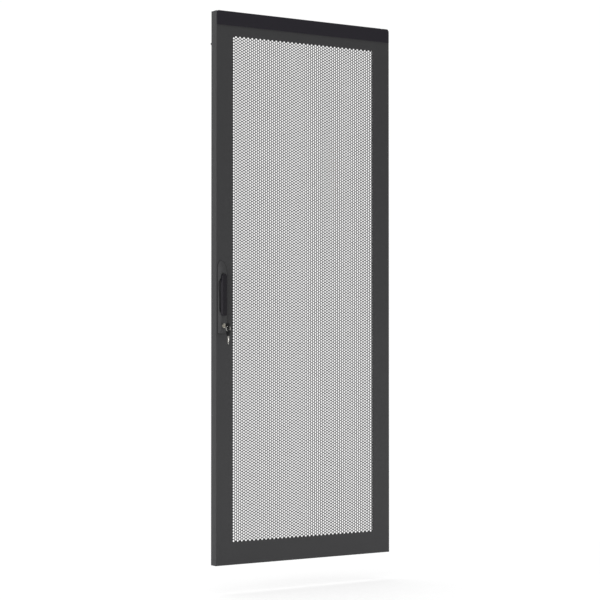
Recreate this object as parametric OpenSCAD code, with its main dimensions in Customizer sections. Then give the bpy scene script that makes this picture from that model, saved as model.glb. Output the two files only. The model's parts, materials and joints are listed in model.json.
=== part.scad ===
// Perforated door for a 42-unit server rack: a folded steel leaf with a punched field,
// a swing handle that drives two locking bars, a cylinder lock and a sprung top hinge.
// Millimetres. X runs from the lock side to the hinge side, Y to the rear and Z up.
// The origin is on the hinge axis, at the lower edge of the leaf.

/* [Leaf] */
// Width of the folded leaf
leaf_w = 765; // [560:5:900]
// Height of the folded leaf, without the trim
leaf_h = 1968.5; // [1500:0.5:2300]
// Depth of the side returns
leaf_depth = 35; // [32:1:50]
// Thickness of the sheet
sheet_t = 1.5; // [1:0.1:2]
// Width of the lip that stiffens the rear edge of each side return
rear_lip = 12; // [8:1:16]
// Depth of the top and bottom returns
cross_return = 16; // [10:1:18]

/* [Punched field] */
// Plain stile on the lock side
stile_lock = 67.5; // [66:0.5:100]
// Plain stile on the hinge side
stile_hinge = 70.4; // [66:0.2:100]
// Plain rail below the field
rail_bottom = 80.4; // [76:0.2:140]
// Plain rail above the field
rail_top = 84.7; // [80:0.1:140]
// Pitch of the openings, each of which stands for a patch of the fine punching
hole_pitch = 59.5; // [56:0.5:120]
// Metal left between two openings
hole_bar = 14.9; // [6:0.1:20]

/* [Stiffeners] */
// Width of a stiffening channel
channel_w = 16; // [12:1:20]
// Depth of a stiffening channel behind the sheet
channel_d = 14.5; // [10:0.5:20]
// Gap from a field edge to the channel beside it
channel_gap = 1.6; // [1:0.1:6]
// Plain sheet left above and below the upright channels
channel_end = 20; // [10:1:40]

/* [Trim] */
// Height of the trim band
trim_h = 51; // [30:1:70]
// Thickness of the trim band
trim_t = 2; // [1.5:0.1:4]
// Depth of the lip of the trim over the upper edge
trim_lip = 9; // [6:0.5:9.5]
// Rounding of the upper corners of the trim
trim_corner = 8; // [2:1:12]
// Distance from each end of the trim to the edge of the leaf
trim_inset = 2; // [0:0.5:10]
// Diameter of a peg of the trim
peg_d = 5; // [4:0.5:8]
// Number of pegs
peg_count = 5; // [3:1:9]

/* [Handle] */
// Distance from the lock edge of the leaf to the handle axis
handle_x = 25.5; // [24.5:0.1:26]
// Height of the spindle above the lower edge of the leaf
spindle_z = 1024; // [900:1:1100]
// Width of the escutcheon on the sheet
esc_w = 39.4; // [38:0.2:44]
// Height of the escutcheon above the sheet
esc_t = 8; // [7:0.5:12]
// Width of the sloping flanks of the escutcheon
esc_flank = 10; // [8:0.5:11]
// Reach of the escutcheon above the spindle
esc_above = 56; // [52:1:70]
// Reach of the escutcheon below the spindle
esc_below = 203; // [190:1:230]
// Width of the dark gasket that shows round the escutcheon
gasket_rim = 1.6; // [0.5:0.1:2]
// Metal left behind the finger recess
recess_floor = 2; // [1.5:0.5:3]
// Length of the lever from the spindle to its tip
lever_len = 140; // [120:1:150]
// Radius of the head of the lever, and half the width of the front of its grip
lever_head_r = 9.4; // [9:0.1:10]
// Spread of the sides of the grip towards the escutcheon
lever_spread = 2.6; // [1:0.1:3]
// Thickness of the lever
lever_t = 9.1; // [8:0.1:12]
// Gap between the lever and the escutcheon
lever_gap = 0.4; // [0.3:0.1:1]
// Diameter of the pin that the lever lifts about
lever_pin_d = 3; // [2:0.5:4]

/* [Latch] */
// Module of the rack and pinion
gear_module = 1.5; // [1.4:0.02:1.5]
// Teeth on the pinion
gear_teeth = 16; // [16:1:16]
// Thickness of a locking bar
bar_t = 4; // [3:0.5:5]
// Metal of a locking bar behind its rack teeth
bar_back = 4.6; // [4:0.1:4.8]
// Distance from the end of each locking bar to the end of the leaf
bar_end = 33; // [25:1:60]
// Width of a guide along the bar
guide_len = 14; // [10:1:24]
// Guides on each bar
guide_count = 4; // [2:1:6]
// Wall of the gear case
case_wall = 2; // [1.5:0.1:2]
// Thickness of the fixing plate behind the handle
plate_t = 2; // [1.5:0.1:3]
// Diameter of the spindle where it turns in the escutcheon
spindle_d = 12; // [11.8:0.1:13]

/* [Lock] */
// Distance from the lower end of the escutcheon up to the lock
lock_above = 28; // [26:1:32]
// Offset of the lock from the handle axis, away from the edge of the leaf
lock_side = 2; // [0:0.5:2.5]
// Diameter of the body of the lock
barrel_d = 14; // [13:0.5:14.5]
// Diameter of the flange of the lock
barrel_flange_d = 16; // [15.5:0.5:18]
// Diameter of the turning plug
plug_d = 10; // [9.6:0.2:11]
// Thickness of the key blade
blade_t = 2.2; // [1.8:0.1:2.6]
// Width of the key blade
blade_w = 8; // [7:0.5:9]
// Width of the bow of the key
bow_w = 22; // [20:1:26]
// Thickness of the bow of the key
bow_t = 5; // [4:0.5:6]
// Radius of the key ring to the middle of its wire
ring_r = 8.7; // [8:0.1:12]
// Diameter of the wire of the key ring
ring_wire = 1.6; // [1.2:0.1:2]

/* [Hinges] */
// Distance from the hinge edge of the leaf to the hinge axis
hinge_in = 18; // [16:1:22]
// Distance from the front of the sheet to the hinge axis
hinge_y = 22; // [20:1:24]
// Diameter of the hinge pins
hinge_d = 8; // [6:0.5:9]
// Reach of the upper pin above the leaf
pin_reach = 7; // [5:0.5:12]
// Distance that the upper pin draws back
pin_travel = 9; // [7:0.5:12]
// Thickness of the hinge brackets
bracket_t = 3; // [2:0.5:4]
// Length of the spring with the pin drawn back
spring_drawn = 34; // [28:1:60]

/* [Small parts] */
// Height of the stop buffer below the upper edge of the leaf
buffer_drop = 114.5; // [60:0.5:300]
// Diameter of the stop buffer
buffer_d = 8; // [6:0.5:10]
// Height of the stop buffer behind the rear lip
buffer_h = 10; // [5:0.5:14]
// Height of the earth stud above the lower edge of the leaf
earth_z = 36; // [30:1:45]

/* [Hidden] */

$fn = 48;
eps = 0.01;
// Radial clearance of a shaft that turns
running = 0.05;
// Radial clearance of a piece that is held still in a hole
seated = 0.03;
// Gap beside a piece that slides
slide_gap = 0.3;

// Colours of the real finishes
powder_grey = "#3F3F41";
trim_black = "#2A2A2E";
lever_black = "#26262B";
zinc = "#B9BCBE";
nickel = "#A9A59B";
nylon_black = "#222224";
spring_steel = "#8C8F92";

// Leaf
hinge_x = leaf_w - hinge_in;
inner_front = sheet_t;
bend_r = 2;

// Punched field
field_x0 = stile_lock;
field_x1 = leaf_w - stile_hinge;
field_z0 = rail_bottom;
field_z1 = leaf_h - rail_top;
hole_af = hole_pitch - hole_bar;
hole_corner_r = hole_af / sqrt(3);
column_pitch = hole_pitch * sqrt(3) / 2;
columns = floor((field_x1 - field_x0 - 2 * hole_corner_r) / column_pitch + 0.02) + 1;
rows = floor((field_z1 - field_z0 - hole_af - hole_pitch / 2) / hole_pitch + 0.12) + 1;
first_x = (field_x0 + field_x1 - (columns - 1) * column_pitch) / 2;
first_z = (field_z0 + field_z1 - (rows - 0.5) * hole_pitch) / 2;

// Channels
channel_t = 1.5;
left_channel_x1 = field_x0 - channel_gap;
right_channel_x0 = field_x1 + channel_gap;
bottom_channel_z1 = field_z0 - channel_gap;
top_channel_z0 = field_z1 + channel_gap;

// Trim
trim_crease = 0.4;
trim_lip_t = 1.6;
peg_z = leaf_h - 24;
peg_first = stile_hinge + 32;
peg_len = 6;
clip_d = peg_d + 7;
clip_t = 1;

// Handle, measured from the spindle
handle_bottom = -esc_below;
front_half = esc_w / 2 - esc_flank;
lever_back = -esc_t - lever_gap;
lever_front = lever_back - lever_t;
lever_pin_y = lever_back - 3.6;
lever_neck = 14;
tongue_half_w = 3.8;
tongue_half_h = 4.4;
tongue_nose_r = lever_pin_d / 2 + 1.7;
head_pocket_r = lever_head_r + 1.2;
head_pocket_floor = 3;
lock_below = esc_below - lock_above;
screw_down_z = 8.5 - esc_below;
screw_d = 5;
gasket_t = 0.8;

// Latch
plate_back = inner_front + plate_t;
gear_r = gear_module * gear_teeth / 2;
tooth_pitch = PI * gear_module;
addendum = 0.9 * gear_module;
pinion_addendum = gear_module;
dedendum = 1.25 * gear_module;
backlash = 0.2;
pressure = 20;
bar_y0 = inner_front + 7.5;
bar_y1 = bar_y0 + bar_t;
rack_tip = gear_r - addendum;
bar_outer = gear_r + dedendum + bar_back;
rack_teeth = 8;
rack_first = -2;
case_half_w = bar_outer + slide_gap + case_wall;
case_z0 = -36;
case_z1 = 32;
case_y1 = bar_y1 + 5;
screw_head_r = 0.85 * screw_d;
screw_up_z = case_z1 + screw_head_r + 1.2;
ear_len = 7;
ear_t = 1.5;
ear_w = 11;
rivet_d = 3;
square_w = 8;
collar_r = 8;
pinion_y0 = bar_y0 - 1;
pinion_y1 = case_y1 - case_wall - slide_gap;
rear_journal_r = 3.75;
upper_bar_x = handle_x - bar_outer;
lower_bar_x = handle_x + rack_tip;
bar_w = bar_outer - rack_tip;

// Lock
lock_z = spindle_z - lock_below;
barrel_front = -esc_t - 2.5;
barrel_rear = 15;
nut_af = 19;
nut_t = 4;
plug_rear = barrel_rear + 3.3;
tongue_t = 3;
tongue_reach = 18;
tongue_screw_d = 4;
key_shoulder = barrel_front - 10;
key_tip = 8;
keyway_end = key_tip + 1;
bow_end = key_shoulder - 22;
bow_eye_r = 3;
bow_eye_y = bow_end + 6;
tang_end = bow_eye_y + bow_eye_r + 3;
// Drop of the ring's wire below its top, at the faces of the bow
ring_drop = ring_r - sqrt(pow(ring_r, 2) - pow(bow_t / 2, 2));
ring_top_z = -bow_eye_r + ring_wire / 2 + ring_drop + 0.25;
ring_centre_z = ring_top_z - ring_r;
ring_bottom_z = ring_centre_z - ring_r;
spare_eye_z = ring_bottom_z + ring_wire / 2 + ring_drop + 0.3 - bow_eye_r;

// Hinges
bracket_w = 40;
bracket_x0 = leaf_w - sheet_t - bracket_w;
bracket_x1 = leaf_w - sheet_t;
bracket_y1 = leaf_depth - sheet_t - 1;
bush_r = hinge_d / 2 + 3;
bush_flange_r = bush_r + 2;
bush_flange_t = 1;
bush_top = sheet_t + bracket_t + 8;
upper_plate_top = leaf_h - sheet_t;
upper_plate_bottom = upper_plate_top - bracket_t;
collar_t = 3;
bracket_h = 2 * bracket_t + collar_t + pin_travel + spring_drawn;
middle_plate_top = upper_plate_top - bracket_h + bracket_t;
middle_plate_bottom = middle_plate_top - bracket_t;
pin_top = leaf_h + pin_reach;
pin_nose = 1.5;
shank_r = hinge_d / 2 + 0.5;
shank_top = leaf_h - 0.7;
pin_collar_r = hinge_d / 2 + 3;
pin_collar_top = upper_plate_bottom - slide_gap;
spring_wire = 1.2;
spring_mid_r = shank_r + 1.3;
spring_turns = 7;
spring_bottom = middle_plate_top + slide_gap;
spring_top = pin_collar_top - collar_t - slide_gap;
knob_top = middle_plate_bottom - 4;
knob_len = 16;
pin_bottom = knob_top - 8;

// Earth stud
earth_x = stile_lock + 40;
earth_d = 6;
earth_len = 16;

// Places children in the frame of the leaf: X from the lock edge and Y from the front
module on_leaf() {
    translate([-hinge_x, -hinge_y, 0]) children();
}

// Places children on the handle axis, at the height of the spindle
module on_spindle() {
    on_leaf() translate([handle_x, 0, spindle_z]) children();
}

// Places children on the axis of the lock
module on_lock() {
    on_leaf() translate([handle_x + lock_side, 0, lock_z]) children();
}

// Box between two opposite corners
module block(low, high) {
    translate(low) cube(high - low);
}

// Raises a flat shape drawn in X and Z from y0 to y1
module slab(y0, y1) {
    translate([0, y1, 0]) rotate([90, 0, 0]) linear_extrude(y1 - y0) children();
}

// Raises a flat shape drawn in Y and Z from x0 to x1
module side_slab(x0, x1) {
    translate([x0, 0, 0]) rotate([90, 0, 90]) linear_extrude(x1 - x0) children();
}

// Round bar along Y
module rod_y(r, y0, y1, sides = 48) {
    translate([0, y0, 0]) rotate([-90, 0, 0]) cylinder(r = r, h = y1 - y0, $fn = sides);
}

// Round bar along X
module rod_x(r, x0, x1) {
    translate([x0, 0, 0]) rotate([0, 90, 0]) cylinder(r = r, h = x1 - x0);
}

// Six-sided shape with flats above and below, given its width across them
module hexagon(across_flats) {
    circle(r = across_flats / sqrt(3), $fn = 6);
}

// Staggered openings of the punched field
module punching() {
    for (column = [0 : columns - 1])
        for (row = [0 : rows - 1])
            translate([
                first_x + column * column_pitch,
                first_z + (row + (column % 2) / 2) * hole_pitch
            ])
                hexagon(hole_af);
}

// Cross-section of the leaf in X and Y: front, two side returns and two rear lips
module leaf_section() {
    difference() {
        hull() {
            translate([bend_r, bend_r]) circle(r = bend_r);
            translate([leaf_w - bend_r, bend_r]) circle(r = bend_r);
            translate([0, leaf_depth - bend_r]) square([leaf_w, bend_r]);
        }
        translate([sheet_t, sheet_t])
            square([leaf_w - 2 * sheet_t, leaf_depth - 2 * sheet_t]);
        translate([rear_lip, sheet_t])
            square([leaf_w - 2 * rear_lip, leaf_depth]);
    }
}

// One sheet of steel: punched, then folded to a pan with welded corners
module door_skin() {
    color(powder_grey) on_leaf() difference() {
        union() {
            linear_extrude(leaf_h - sheet_t) leaf_section();
            block([bend_r, 0, 0], [leaf_w - bend_r, cross_return, sheet_t]);
            block([0, sheet_t, 0], [leaf_w, cross_return, sheet_t]);
            translate([0, 0, leaf_h - sheet_t]) linear_extrude(sheet_t) intersection() {
                hull() {
                    translate([bend_r, bend_r]) circle(r = bend_r);
                    translate([leaf_w - bend_r, bend_r]) circle(r = bend_r);
                    translate([0, leaf_depth - bend_r]) square([leaf_w, bend_r]);
                }
                square([leaf_w, cross_return]);
            }
        }
        slab(-eps, sheet_t + eps) punching();
        for (i = [0 : peg_count - 1])
            translate([peg_x(i), 0, peg_z]) rod_y(peg_d / 2 + seated, -eps, sheet_t + eps);
        translate([handle_x, 0, spindle_z]) {
            rod_y(spindle_d / 2 + 0.5, -eps, sheet_t + eps);
            for (z = [screw_up_z, screw_down_z])
                translate([0, 0, z]) rod_y(screw_d / 2 + 0.2, -eps, sheet_t + eps);
        }
        translate([handle_x + lock_side, 0, lock_z]) rod_y(barrel_d / 2 + 0.2, -eps, sheet_t + eps);
        translate([rear_lip / 2, 0, leaf_h - buffer_drop])
            rod_y(buffer_d / 4 + running, leaf_depth - sheet_t - eps, leaf_depth + eps);
        translate([hinge_x, hinge_y, -eps])
            cylinder(r = bush_flange_r + slide_gap, h = sheet_t + 2 * eps);
    }
}

// Folded channel along Z, open towards the sheet
module upright_channel(x0, z0, z1) {
    difference() {
        block([x0, inner_front, z0], [x0 + channel_w, inner_front + channel_d, z1]);
        block(
            [x0 + channel_t, inner_front - eps, z0 - eps],
            [x0 + channel_w - channel_t, inner_front + channel_d - channel_t, z1 + eps]
        );
    }
}

// Folded channel along X, open towards the sheet
module cross_channel(z0) {
    x0 = left_channel_x1;
    x1 = right_channel_x0;
    difference() {
        block([x0, inner_front, z0], [x1, inner_front + channel_d, z0 + channel_w]);
        block(
            [x0 - eps, inner_front - eps, z0 + channel_t],
            [x1 + eps, inner_front + channel_d - channel_t, z0 + channel_w - channel_t]
        );
    }
}

module left_stiffener() {
    color(powder_grey) on_leaf()
        upright_channel(left_channel_x1 - channel_w, channel_end, leaf_h - channel_end);
}

module right_stiffener() {
    color(powder_grey) on_leaf()
        upright_channel(right_channel_x0, channel_end, leaf_h - channel_end);
}

module top_stiffener() {
    color(powder_grey) on_leaf() cross_channel(top_channel_z0);
}

module bottom_stiffener() {
    color(powder_grey) on_leaf() cross_channel(bottom_channel_z1 - channel_w);
}

// Place of peg i along the trim
function peg_x(i) = peg_first + i * (leaf_w - 2 * peg_first) / (peg_count - 1);

// What the rounding takes off the upper left corner of the trim
module trim_corner_cut() {
    slab(-trim_t - eps, trim_lip + eps) difference() {
        translate([-eps, -trim_corner]) square(trim_corner + eps);
        translate([trim_corner, -trim_corner]) circle(r = trim_corner);
    }
}

// Moulded band with a crease along its face, a lip over the upper edge and pegs
module top_trim() {
    z0 = leaf_h + trim_lip_t - trim_h;
    z1 = leaf_h + trim_lip_t;
    z_crease = z1 - trim_crease * trim_h;
    color(trim_black) on_leaf() {
        difference() {
            side_slab(trim_inset, leaf_w - trim_inset) polygon([
                [0, z0], [-trim_t / 2, z0], [-trim_t, z0 + trim_t / 2], [-trim_t, z_crease],
                [-trim_t * 0.75, z1 - 1], [-trim_t * 0.75 + 1, z1],
                [trim_lip, z1], [trim_lip, leaf_h], [0, leaf_h]
            ]);
            translate([trim_inset, 0, z1]) trim_corner_cut();
            translate([leaf_w - trim_inset, 0, z1]) mirror([1, 0, 0]) trim_corner_cut();
        }
        for (i = [0 : peg_count - 1])
            translate([peg_x(i), 0, peg_z]) rod_y(peg_d / 2, -eps, sheet_t + peg_len);
    }
}

// Pressed nuts that grip the pegs behind the sheet
module trim_clips() {
    color(spring_steel) on_leaf() for (i = [0 : peg_count - 1])
        translate([peg_x(i), 0, peg_z]) difference() {
            rod_y(clip_d / 2, sheet_t, sheet_t + clip_t);
            rod_y(peg_d / 2 + seated, sheet_t - eps, sheet_t + clip_t + eps);
        }
}

// Outline of the escutcheon in X and Z, drawn in by the given amount
module escutcheon_outline(inset, top, low) {
    half = esc_w / 2 - inset;
    corner = 6;
    apex_x = -0.36 * half;
    left_drop = 0.5 * esc_above;
    right_drop = 1.03 * esc_above;
    polygon(concat(
        [for (a = [0 : 10 : 90])
            [apex_x - (apex_x + half) * cos(a), top - left_drop * (1 - sin(a))]],
        [for (a = [80 : -10 : 0])
            [apex_x + (half - apex_x) * cos(a), top - right_drop * (1 - sin(a))]],
        [for (a = [0 : 15 : 90]) [half - corner + corner * cos(a), low + corner - corner * sin(a)]],
        [for (a = [90 : -15 : 0]) [-half + corner - corner * cos(a), low + corner - corner * sin(a)]]
    ));
}

// Outline of the finger recess: its bulge over the flank at shares of the lever's length
module recess_outline() {
    low = 4 - lever_len;
    bulge = [
        [0.02, 0], [0.07, 0.4], [0.13, 0.72], [0.2, 0.8], [0.3, 0.78], [0.45, 0.66],
        [0.57, 0.58], [0.8, 0.58], [0.87, 0.5], [0.93, 0.22]
    ];
    polygon(concat(
        [for (p = bulge) [-front_half - p[1] * esc_flank, -p[0] * lever_len]],
        [[-front_half + 0.7, low], [front_half - 0.2, low], [front_half - 0.2, -13]]
    ));
}

// Cast body of the handle: sloping flanks, domed top, finger recess and bearing of the spindle
module escutcheon() {
    edge_t = 1.5;
    color(powder_grey) on_spindle() difference() {
        hull() {
            slab(-edge_t, -gasket_t) escutcheon_outline(0, esc_above, handle_bottom);
            slab(-esc_t, -edge_t)
                escutcheon_outline(esc_flank, esc_above * 0.46, handle_bottom + 5);
        }
        slab(-esc_t - eps, -recess_floor) recess_outline();
        rod_y(head_pocket_r, -esc_t - eps, -head_pocket_floor);
        rod_y(spindle_d / 2 + running, -esc_t, eps);
        for (z = [screw_up_z, screw_down_z])
            translate([0, 0, z]) rod_y(screw_d / 2 + seated, -3.5, eps);
        translate([lock_side, 0, -lock_below]) rod_y(barrel_d / 2 + seated, -esc_t - 1, eps);
    }
}

// Flat gasket between the escutcheon and the sheet, showing as a dark rim
module handle_gasket() {
    color(nylon_black) on_spindle() difference() {
        slab(-gasket_t, 0)
            escutcheon_outline(-gasket_rim, esc_above + gasket_rim, handle_bottom - gasket_rim);
        rod_y(spindle_d / 2 + 0.5, -gasket_t - eps, eps);
        for (z = [screw_up_z, screw_down_z])
            translate([0, 0, z]) rod_y(screw_d / 2 + 0.2, -gasket_t - eps, eps);
        translate([lock_side, 0, -lock_below]) rod_y(barrel_d / 2 + 0.2, -gasket_t - eps, eps);
    }
}

// Long plate that the screws and the lock nut pull against the sheet
module case_plate() {
    half = esc_w / 2 - 1.2;
    color(zinc) on_spindle() difference() {
        block([-half, inner_front, handle_bottom + 1], [half, plate_back, esc_above - 5]);
        rod_y(spindle_d / 2 + 0.3, 0, plate_back + eps);
        for (z = [screw_up_z, screw_down_z])
            translate([0, 0, z]) rod_y(screw_d / 2 + 0.2, 0, plate_back + eps);
        translate([lock_side, 0, -lock_below]) rod_y(barrel_d / 2 + 0.2, 0, plate_back + eps);
        rivet_places() rod_y(rivet_d / 2 + seated, 0, plate_back + eps);
    }
}

// Repeats children at the four rivets of the gear case
module rivet_places() {
    for (x = [-1, 1] * (case_half_w - ear_w / 2))
        for (z = [case_z0 - ear_len / 2, case_z1 + ear_len / 2])
            translate([x, 0, z]) children();
}

// Drawn shell over the pinion, with slots for the bars and ears for the rivets
module latch_case() {
    slot_in = rack_tip - slide_gap;
    slot_out = bar_outer + slide_gap;
    color(zinc) on_spindle() difference() {
        union() {
            block([-case_half_w, plate_back, case_z0], [case_half_w, case_y1, case_z1]);
            rivet_places()
                block([-ear_w / 2, plate_back, -ear_len / 2], [ear_w / 2, plate_back + ear_t, ear_len / 2]);
        }
        block(
            [-case_half_w + case_wall, plate_back - eps, case_z0 + case_wall],
            [case_half_w - case_wall, case_y1 - case_wall, case_z1 - case_wall]
        );
        block([-slot_out, bar_y0 - slide_gap, 0], [-slot_in, bar_y1 + slide_gap, case_z1 + eps]);
        block([slot_in, bar_y0 - slide_gap, case_z0 - eps], [slot_out, bar_y1 + slide_gap, 0]);
        rod_y(rear_journal_r + running, case_y1 - case_wall - eps, case_y1 + eps);
        rivet_places() rod_y(rivet_d / 2 + seated, plate_back - eps, plate_back + ear_t + eps);
    }
}

module case_rivets() {
    color(zinc) on_spindle() rivet_places() {
        rod_y(rivet_d / 2, inner_front, plate_back + ear_t);
        rod_y(rivet_d, plate_back + ear_t, plate_back + ear_t + 1);
    }
}

// Two screws driven from behind into the escutcheon
module handle_screws() {
    color(zinc) on_spindle() for (z = [screw_up_z, screw_down_z])
        translate([0, 0, z]) {
            rod_y(screw_d / 2, -3.2, plate_back);
            difference() {
                rod_y(screw_head_r, plate_back, plate_back + 3);
                slab(plate_back + 1.2, plate_back + 4) circle(d = 3.4, $fn = 6);
            }
        }
}

// Shaft with a tongue for the lever, a collar inside the case and a square for the pinion
module spindle() {
    nose_y = lever_pin_y;
    color(zinc) on_spindle() difference() {
        union() {
            translate([0, nose_y, 0]) rod_x(tongue_nose_r, -tongue_half_w, tongue_half_w);
            block([-tongue_half_w, nose_y, -tongue_nose_r], [tongue_half_w, nose_y + 2, tongue_nose_r]);
            block([-tongue_half_w, nose_y + 1, -tongue_half_h], [tongue_half_w, -4, tongue_half_h]);
            rod_y(spindle_d / 2, -head_pocket_floor - 1.5, plate_back + slide_gap);
            rod_y(collar_r, plate_back + slide_gap, pinion_y0 - 0.3);
            slab(pinion_y0 - 0.3, pinion_y1 + 0.1) square(square_w, center = true);
            rod_y(rear_journal_r, pinion_y1 + 0.1, case_y1 + 0.2);
        }
        translate([0, lever_pin_y, 0])
            rod_x(lever_pin_d / 2 + seated, -tongue_half_w - 1, tongue_half_w + 1);
        rod_y(2 + seated, pinion_y1 - 6, case_y1 + 1);
    }
}

// Outline of the lever in X and Z, or of its grip alone, spread by the given amount
module lever_outline(spread, grip = false) {
    half = lever_head_r + spread;
    tip_r = 5 + spread;
    hull() {
        if (!grip) circle(r = lever_head_r + spread);
        if (grip) translate([-lever_head_r, -lever_neck]) square([2 * lever_head_r, 1]);
        if (grip) for (x = [-1, 1] * (half - 1)) translate([x, -lever_neck - 8]) circle(r = 1, $fn = 32);
        for (x = [-1, 1] * (half - tip_r))
            translate([x, tip_r - min(spread, 0) - lever_len]) circle(r = tip_r, $fn = 32);
    }
}

// Moulded grip with eased front edges and sides that spread below its head, slotted for the
// tongue of the spindle
module lever() {
    ease = 1;
    skin = 2;
    slot_half = tongue_half_w + slide_gap;
    color(lever_black) on_spindle() difference() {
        union() {
            hull() {
                slab(lever_front + ease, lever_back) lever_outline(0);
                slab(lever_front, lever_front + ease) lever_outline(-ease);
            }
            hull() {
                slab(lever_back - 1, lever_back) lever_outline(lever_spread, true);
                slab(lever_front + ease, lever_back) lever_outline(0, true);
            }
        }
        block(
            [-slot_half, lever_front + skin, -tongue_half_h - 2],
            [slot_half, lever_back + eps, lever_head_r + 1]
        );
        translate([0, lever_pin_y, 0])
            rod_x(lever_pin_d / 2 + seated, -lever_head_r - 1, lever_head_r + 1);
    }
}

module lever_pin() {
    reach = lever_head_r - 1;
    color(zinc) on_spindle() translate([0, lever_pin_y, 0]) rod_x(lever_pin_d / 2, -reach, reach);
}

// Involute of a circle: the angle at which it reaches radius r
function involute(base, r) = sqrt(pow(r / base, 2) - 1) * 180 / PI - acos(base / r);

// Points of one side of a pinion tooth, from the root to the tip
function flank(side) = let (
    base = gear_r * cos(pressure),
    tip = gear_r + pinion_addendum,
    half = 90 / gear_teeth - backlash / 4 / gear_r * 180 / PI,
    at_pitch = involute(base, gear_r)
) [for (r = [gear_r - dedendum, base, base + 0.7, gear_r, (gear_r + tip) / 2, tip])
    let (a = side * (half + at_pitch - (r > base ? involute(base, r) : 0)))
    [r * cos(a), r * sin(a)]];

function reversed(list) = [for (i = [len(list) - 1 : -1 : 0]) list[i]];

function turned(list, a) = [
    for (p = list) [p.x * cos(a) - p.y * sin(a), p.x * sin(a) + p.y * cos(a)]
];

// Gear on the square of the spindle
module pinion() {
    tooth = concat(flank(-1), reversed(flank(1)));
    color(zinc) on_spindle() slab(pinion_y0, pinion_y1) difference() {
        polygon([
            for (i = [0 : gear_teeth - 1]) each turned(tooth, i * 360 / gear_teeth)
        ]);
        square(square_w + 2 * seated, center = true);
    }
}

module spindle_washer() {
    color(zinc) on_spindle() difference() {
        rod_y(7, case_y1 + slide_gap, case_y1 + slide_gap + 1);
        rod_y(2 + seated, case_y1, case_y1 + 2);
    }
}

module spindle_screw() {
    head_y = case_y1 + slide_gap + 1;
    color(zinc) on_spindle() {
        rod_y(2, pinion_y1 - 5, head_y);
        difference() {
            rod_y(3.6, head_y, head_y + 2.8);
            slab(head_y + 1, head_y + 4) circle(d = 3, $fn = 6);
        }
    }
}

// Flat bar with rack teeth on the side that faces the pinion, drawn to the right of the spindle
// and downwards: the rack starts above the spindle and the bar ends at z_end
module rack_bar(z_end) {
    slope = tan(pressure);
    half = tooth_pitch / 4 - backlash / 4;
    root_x = gear_r + dedendum;
    root_half = half + dedendum * slope;
    tip_half = half - addendum * slope;
    top_z = -rack_first * tooth_pitch;
    rack_end = top_z - rack_teeth * tooth_pitch;
    nose = bar_w / 2;
    polygon(concat(
        [[bar_outer, z_end + nose], [bar_outer, top_z], [root_x, top_z]],
        [for (i = [0 : rack_teeth - 1])
            let (z = top_z - (i + 0.5) * tooth_pitch)
            each [
                [root_x, z + root_half], [rack_tip, z + tip_half],
                [rack_tip, z - tip_half], [root_x, z - root_half]
            ]],
        [[root_x, rack_end], [rack_tip, rack_end], [rack_tip, z_end], [rack_tip + nose, z_end]]
    ));
}

// The upper bar is the lower one turned half a turn about the spindle
module upper_rod() {
    color(zinc) on_spindle() slab(bar_y0, bar_y1)
        rotate(180) rack_bar(-(leaf_h - bar_end - spindle_z));
}

module lower_rod() {
    color(zinc) on_spindle() slab(bar_y0, bar_y1) rack_bar(-(spindle_z - bar_end));
}

// One guide: a block on the sheet with a slot for the bar that starts at x
module rod_guide(x, z) {
    wall = 4;
    translate([x, 0, z]) difference() {
        block([-wall, inner_front, 0], [bar_w + wall, bar_y1 + wall, guide_len]);
        block(
            [-slide_gap, bar_y0 - slide_gap, -eps],
            [bar_w + slide_gap, bar_y1 + slide_gap, guide_len + eps]
        );
    }
}

// Nylon guides, spaced evenly between the latch and the end of each bar
module rod_guides() {
    upper_span = leaf_h - bar_end - 30 - (spindle_z + esc_above);
    lower_span = spindle_z - esc_below - bar_end - 30;
    color(nylon_black) on_leaf() for (i = [1 : guide_count]) {
        rod_guide(upper_bar_x, spindle_z + esc_above + i * upper_span / guide_count);
        rod_guide(lower_bar_x, spindle_z - esc_below - guide_len - i * lower_span / guide_count);
    }
}

// Turned housing of the lock, with a flange on the face of the escutcheon
module lock_barrel() {
    color(nickel) on_lock() difference() {
        union() {
            rod_y(barrel_flange_d / 2, barrel_front, -esc_t);
            rod_y(barrel_d / 2, -esc_t, barrel_rear);
        }
        rod_y(plug_d / 2 + running, barrel_front - 1, barrel_rear + 1);
    }
}

module lock_nut() {
    color(zinc) on_lock() difference() {
        slab(plate_back, plate_back + nut_t) rotate(30) hexagon(nut_af);
        rod_y(barrel_d / 2 + seated, plate_back - 1, plate_back + nut_t + 1);
    }
}

// Turning plug with the keyway, and a square at the rear for the tongue
module lock_plug() {
    color(nickel) on_lock() difference() {
        union() {
            rod_y(plug_d / 2, barrel_front, barrel_rear + slide_gap);
            slab(barrel_rear, plug_rear) square(6, center = true);
        }
        block(
            [-blade_t / 2 - 0.1, barrel_front - 1, -blade_w / 2 - 0.2],
            [blade_t / 2 + 0.1, keyway_end, blade_w / 2 + 0.2]
        );
        rod_y(tongue_screw_d / 2 + seated, keyway_end + 0.8, plug_rear + 1);
    }
}

module lock_tongue() {
    y0 = barrel_rear + slide_gap;
    color(zinc) on_lock() slab(y0, y0 + tongue_t) difference() {
        union() {
            circle(r = 8);
            translate([-4, 0]) square([8, tongue_reach]);
            translate([0, tongue_reach]) circle(r = 4);
        }
        square(6 + 2 * seated, center = true);
    }
}

module tongue_screw() {
    color(zinc) on_lock() {
        rod_y(tongue_screw_d / 2, keyway_end + 1.2, plug_rear);
        difference() {
            rod_y(4.5, plug_rear, plug_rear + 2.4);
            slab(plug_rear + 1, plug_rear + 3) circle(d = 3, $fn = 6);
        }
    }
}

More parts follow.
